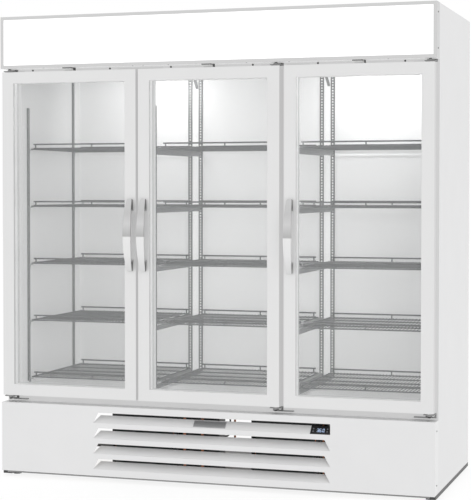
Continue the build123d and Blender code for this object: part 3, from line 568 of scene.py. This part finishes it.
def build_compressor_details():
    """Weld bead, charging stub, foot bolts and terminal cover screws on each compressor."""
    bm = bmesh.new()
    for x in COMPRESSORS:
        place = Matrix.Translation(Vector((x, COMPRESSOR_Y, 0.0)))
        add_turned(bm, [(0.104, 0.1555), (0.1075, 0.1575), (0.1075, 0.1645), (0.104, 0.1665)], place,
                   sides=40)
        add_pipe(bm, [(x + 0.085, 0.10, 0.14), (x + 0.125, 0.13, 0.14), (x + 0.135, 0.14, 0.15),
                      (x + 0.135, 0.14, 0.215)], 0.004)
        add_rod(bm, (x + 0.135, 0.14, 0.214), (x + 0.135, 0.14, 0.226), 0.0055, 6)
        for dx in (-0.110, 0.110):
            for dy in (-0.080, 0.080):
                foot_x, foot_y = x + dx, COMPRESSOR_Y + dy
                add_rod(bm, (foot_x, foot_y, 0.053), (foot_x, foot_y, 0.056), 0.010, 16)
                add_rod(bm, (foot_x, foot_y, 0.056), (foot_x, foot_y, 0.063), 0.0065, 6)
        for z in (0.118, 0.172):
            add_screw(bm, (x, -0.0702, z), (0, -1, 0), 0.0035, 0.002)
    piece = new_piece("compressor_details", bm, dark_steel)
    piece.data.materials.append(black_plastic)


# ---- base, feet and screws ----------------------------------------------------------------
def build_feet():
    """Levelling feet: rubber pad, steel cup and hexagon nut."""
    bm = bmesh.new()
    for x in (-0.9205, 0.9205):
        for y in (-0.299, 0.411):
            place = Matrix.Translation(Vector((x, y, 0)))
            add_turned(bm, [(0.0175, 0.0), (0.019, 0.0012), (0.019, 0.0042), (0.0165, 0.006),
                            (0.009, 0.0062), (0.009, 0.0075)], place, sides=28)
            add_rod(bm, (x, y, 0.007), (x, y, 0.012), 0.0115, 6)
    feet = new_piece("feet", bm, foot_black)
    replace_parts(feet, "levelling_feet")


def build_screw_heads():
    """Domed heads with a cross recess in place of the plain ones, and small ones under the header."""
    bm = bmesh.new()
    for middle in (-0.649, -0.009, 0.632):
        for offset in (-0.181, 0.181):
            add_screw(bm, (middle + offset, -0.319, 1.7695), (0, -1, 0), 0.004, 0.0025)
    for side in (-1, 1):
        for z in (1.8145, 1.958, 0.0665, 0.2855):
            add_screw(bm, (side * 0.9525, -0.352, z), (side, 0, 0), 0.0035, 0.0015)
    screws = new_piece("screw_heads", bm, dark_steel)
    screws.data.materials.append(black_plastic)
    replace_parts(screws, "trim_screws")
    bm = bmesh.new()
    for x in (-0.752, -0.340, -0.293, -0.180, 0.163, 0.345, 0.756):
        add_screw(bm, (x, -0.380, 1.7745), (0, 0, -1), 0.0028, 0.0012)
    screws = new_piece("header_screws", bm, support_steel)
    screws.data.materials.append(dark_steel)


# ---- fittings above and below the doors ---------------------------------------------------
def build_reinforcing_plates():
    """Plates with slanted ends on the strip above the doors."""
    bm = bmesh.new()
    bottom, top, slant = 1.7600, 1.7690, 0.006
    for x0, x1 in ((-0.940, -0.863), (-0.438, -0.219), (0.203, 0.252), (0.315, 0.421), (0.845, 0.900)):
        outline = [(x0, bottom), (x1, bottom), (x1 - slant, top), (x0 + slant, top)]
        front = [bm.verts.new((x, -0.3206, z)) for x, z in outline]
        back = [bm.verts.new((x, -0.3188, z)) for x, z in outline]
        bm.faces.new(front)
        bm.faces.new(list(reversed(back)))
        for k in range(4):
            bm.faces.new((front[k], back[k], back[(k + 1) % 4], front[(k + 1) % 4]))
    # the plates glow with painted light, like the strip they sit on
    new_piece("reinforcing_plates", bm, plate_strip_glow)


def build_sensor_brackets():
    """Cranked brackets that hang the door sensors under the header."""
    bm = bmesh.new()
    for x in (-0.6445, -0.014, 0.629):
        add_box(bm, (x - 0.021, -0.376, 1.7715), (x + 0.017, -0.367, 1.7745))
        add_box(bm, (x + 0.017, -0.376, 1.7715), (x + 0.0235, -0.3600, 1.7745))
        add_box(bm, (x + 0.0262, -0.366, 1.7625), (x + 0.0285, -0.345, 1.7745))
    new_piece("sensor_brackets", bm, dark_steel)


def build_hinge_fittings():
    """Bolts, pin heads, stop pins and washers of the brackets above and below each door."""
    bolts = bmesh.new()
    washers = bmesh.new()
    for x in HINGE_PINS:
        for dx in (-0.013, 0.013):
            add_rod(bolts, (x + dx, -0.322, 1.7698), (x + dx, -0.3262, 1.7698), 0.0034, 6)
            add_rod(bolts, (x + dx, -0.3232, 0.343), (x + dx, -0.3275, 0.343), 0.0036, 6)
        add_rod(bolts, (x, PIN_Y, 1.771), (x, PIN_Y, 1.7742), 0.006, 6)
        add_rod(bolts, (x + 0.016, -0.368, 1.7575), (x + 0.016, -0.344, 1.7605), 0.002, 8)
        add_rod(bolts, (x, PIN_Y, 0.3375), (x, PIN_Y, 0.3435), 0.0065, 6)
        add_rod(bolts, (x - 0.019, -0.366, 0.3535), (x - 0.019, -0.352, 0.3575), 0.0022, 8)
        add_rod(washers, (x, PIN_Y, 0.3535), (x, PIN_Y, 0.3572), 0.0125, 20)
        add_rod(washers, (x + 0.012, -0.3335, 0.3455), (x + 0.012, -0.336, 0.3455), 0.006, 16)
    new_piece("hinge_bolts", bolts, dark_steel)
    new_piece("hinge_washers", washers, fitting_plastic)


def build_glass_spacers():
    """Edge spacers of the sealed glass units: bars that line the grooves behind each opening's edge."""
    z0, z1 = 0.4060, 1.7105
    y0, y1 = -0.3712, -0.3490
    near, far = 0.0002, 0.0085
    openings = {"left": (-0.8925, -0.3750), "middle": (-0.2640, 0.2535), "right": (0.3755, 0.8930)}
    for door, (x0, x1) in openings.items():
        bm = bmesh.new()
        add_box(bm, (x0 - far, y0, z0 - far), (x0 - near, y1, z1 + far))
        add_box(bm, (x1 + near, y0, z0 - far), (x1 + far, y1, z1 + far))
        add_box(bm, (x0 - near, y0, z0 - far), (x1 + near, y1, z0 - near))
        add_box(bm, (x0 - near, y0, z1 + near), (x1 + near, y1, z1 + far))
        new_piece(f"glass_spacer_{door}", bm, spacer_glow, body=f"door_{door}")


# ---- controller and badge -----------------------------------------------------------------
def on_louvre():
    """Transform from the upright louvre plane to its leaning place."""
    hinge = Matrix.Translation(Vector(LOUVRE_TOP))
    return hinge @ Matrix.Rotation(LOUVRE_LEAN, 4, "X") @ hinge.inverted()


SEGMENTS = {"3": "abcdg", "6": "acdefg", "0": "abcdef"}


def add_digit(bm, digit, x, z, width, height, matrix):
    """Seven-segment digit that stands a little proud of the controller."""
    thick = 0.0011
    places = {
        "a": (x, z + height - thick, x + width, z + height), "d": (x, z, x + width, z + thick),
        "g": (x, z + (height - thick) / 2, x + width, z + (height + thick) / 2),
        "f": (x, z + height / 2, x + thick, z + height), "e": (x, z, x + thick, z + height / 2),
        "b": (x + width - thick, z + height / 2, x + width, z + height),
        "c": (x + width - thick, z, x + width, z + height / 2),
    }
    for segment in SEGMENTS[digit]:
        x0, z0, x1, z1 = places[segment]
        add_box(bm, (x0, DIGIT_FACE, z0), (x1, CONTROLLER_FACE, z1), matrix)


def build_controller():
    """Display digits with a point, and four round touch keys."""
    matrix = on_louvre()
    foot = 0.2665
    bm = bmesh.new()
    for digit, x in (("3", 0.4630), ("6", 0.4730), ("0", 0.4865)):
        add_digit(bm, digit, x, foot, 0.0072, 0.0155, matrix)
    add_box(bm, (0.4818, DIGIT_FACE, foot), (0.4834, CONTROLLER_FACE, foot + 0.0016), matrix)
    new_piece("display_digits", bm, display_glow)
    bm = bmesh.new()
    towards_user = Matrix.Rotation(math.radians(90), 4, "X")
    for x in (0.4475, 0.5065):
        for z in (0.2685, 0.2815):
            place = matrix @ Matrix.Translation(Vector((x, -0.3843, z))) @ towards_user
            add_turned(bm, [(0.0032, 0.0), (0.0032, 0.0005), (0.0026, 0.0008), (0.0004, 0.0008)], place,
                       sides=14)
    new_piece("touch_keys", bm, icon_grey)


def build_badge_rim():
    """Raised rim round the blank badge plate."""
    matrix = on_louvre()
    bm = bmesh.new()
    rim, back, front = 0.0022, -0.3874, -0.3884
    x0, x1, z0, z1 = -0.070, 0.071, 0.258, 0.290
    for left, bottom, right, top in ((x0, z0, x1, z0 + rim), (x0, z1 - rim, x1, z1),
                                     (x0, z0 + rim, x0 + rim, z1 - rim),
                                     (x1 - rim, z0 + rim, x1, z1 - rim)):
        add_box(bm, (left, front, bottom), (right, back, top), matrix)
    bevel(new_piece("badge_rim", bm, plate_grey), 0.0003)


# ---- back of the cabinet ------------------------------------------------------------------
def add_rivet(bm, x, y, z):
    """Add a domed blind rivet on the back."""
    place = Matrix.Translation(Vector((x, y, z))) @ Matrix.Rotation(math.radians(-90), 4, "X")
    add_turned(bm, [(0.0034, 0.0), (0.0030, 0.0009), (0.0016, 0.0014), (0.0003, 0.0015)], place, sides=12)


def build_rear_details():
    """Folded seams and blind rivets on the rear panel, and the liner's back wall seams."""
    bm = bmesh.new()
    for x in (-0.3175, 0.3175):
        add_box(bm, (x - 0.009, 0.4305, 0.36), (x + 0.009, 0.4325, 1.985))
    add_box(bm, (-0.945, 0.4305, 0.3405), (0.945, 0.4325, 0.357))
    bevel(new_piece("rear_seams", bm, galvanised), 0.0006)
    bm = bmesh.new()
    for x, y in ((-0.940, REAR_SKIN_Y), (-0.3175, REAR_SEAM_Y), (0.3175, REAR_SEAM_Y),
                 (0.940, REAR_SKIN_Y)):
        for k in range(9):
            add_rivet(bm, x, y, 0.41 + 0.19 * k)
    for k in range(10):
        add_rivet(bm, -0.9 + 0.2 * k, REAR_SEAM_Y, 0.349)
        add_rivet(bm, -0.9 + 0.2 * k, REAR_SKIN_Y, 1.990)
    new_piece("rear_rivets", bm, steel)
    bm = bmesh.new()
    for x in (-0.322, 0.258, 0.322):
        add_box(bm, (x - 0.0007, 0.3612, 0.386), (x + 0.0007, 0.3622, 1.775))
    new_piece("liner_seams", bm, liner_white)


def build_base_lip_shadow():
    """Rolled dark-grey rod over the base panel's lower lip: a painted shadow line along that edge."""
    bm = bmesh.new()
    add_rod(bm, (-0.928, -0.3788, 0.0228), (0.928, -0.3788, 0.0228), 0.0036, 12)
    new_piece("base_lip_shadow", bm, lip_shadow)


build_standards()
place_shelves()
build_base_lip_shadow()
build_coils()
build_fan_guards()
build_compressor_details()
build_feet()
build_screw_heads()
build_reinforcing_plates()
build_sensor_brackets()
build_hinge_fittings()
build_glass_spacers()
build_controller()
build_badge_rim()
build_rear_details()


# ---- camera, floor and light --------------------------------------------------------------
def make_camera():
    """Camera at eye height in front of the right-hand doors, turned left and a little down."""
    yaw, pitch = 0.31648, 0.0273
    data = bpy.data.cameras.new("camera")
    data.sensor_fit = "AUTO"
    data.sensor_width = 36.0
    data.lens = 110.13912
    data.shift_x, data.shift_y = 0.02012, -0.03856
    camera = bpy.data.objects.new("camera", data)
    bpy.context.scene.collection.objects.link(camera)
    camera.location = (2.0455, -6.4060, 1.2542)
    forward = Vector((-math.sin(yaw) * math.cos(pitch), math.cos(yaw) * math.cos(pitch),
                      -math.sin(pitch)))
    camera.rotation_euler = forward.to_track_quat("-Z", "Y").to_euler()
    bpy.context.scene.camera = camera


def area_light(name, place, target, width, height, power):
    """Soft rectangular light that points at a target."""
    data = bpy.data.lights.new(name, "AREA")
    data.energy = power
    data.shape = "RECTANGLE"
    data.size, data.size_y = width, height
    lamp = bpy.data.objects.new(name, data)
    bpy.context.scene.collection.objects.link(lamp)
    lamp.location = place
    lamp.rotation_euler = (Vector(target) - Vector(place)).to_track_quat("-Z", "Y").to_euler()


def light_cabinet():
    """Lights under the evaporator cover and behind the mullions, where the cabinet's lamps are."""
    for name, x, width, power in (("left", -0.46, 0.20, 1.0), ("right", 0.58, 0.36, 1.3)):
        area_light(f"cooler_light_{name}", (x, 0.06, 1.74), (x, 0.36, 1.60), width, 0.06, power)
    for name, x in (("left", -0.3195), ("right", 0.315)):
        area_light(f"mullion_light_{name}", (x, -0.228, 1.08), (x, 0.36, 1.08), 0.016, 1.25, 1.8)


def make_studio():
    """Pale floor and even white surroundings."""
    bm = bmesh.new()
    add_box(bm, (-30, -30, -0.02), (30, 30, 0.0))
    new_piece("floor", bm, floor_pale, body=None)
    world = bpy.data.worlds.new("studio")
    bpy.context.scene.world = world
    world.use_nodes = True
    background = world.node_tree.nodes["Background"]
    background.inputs["Color"].default_value = WHITE
    background.inputs["Strength"].default_value = 1.0
    bpy.context.scene.view_settings.view_transform = "Standard"


make_camera()
make_studio()
light_cabinet()
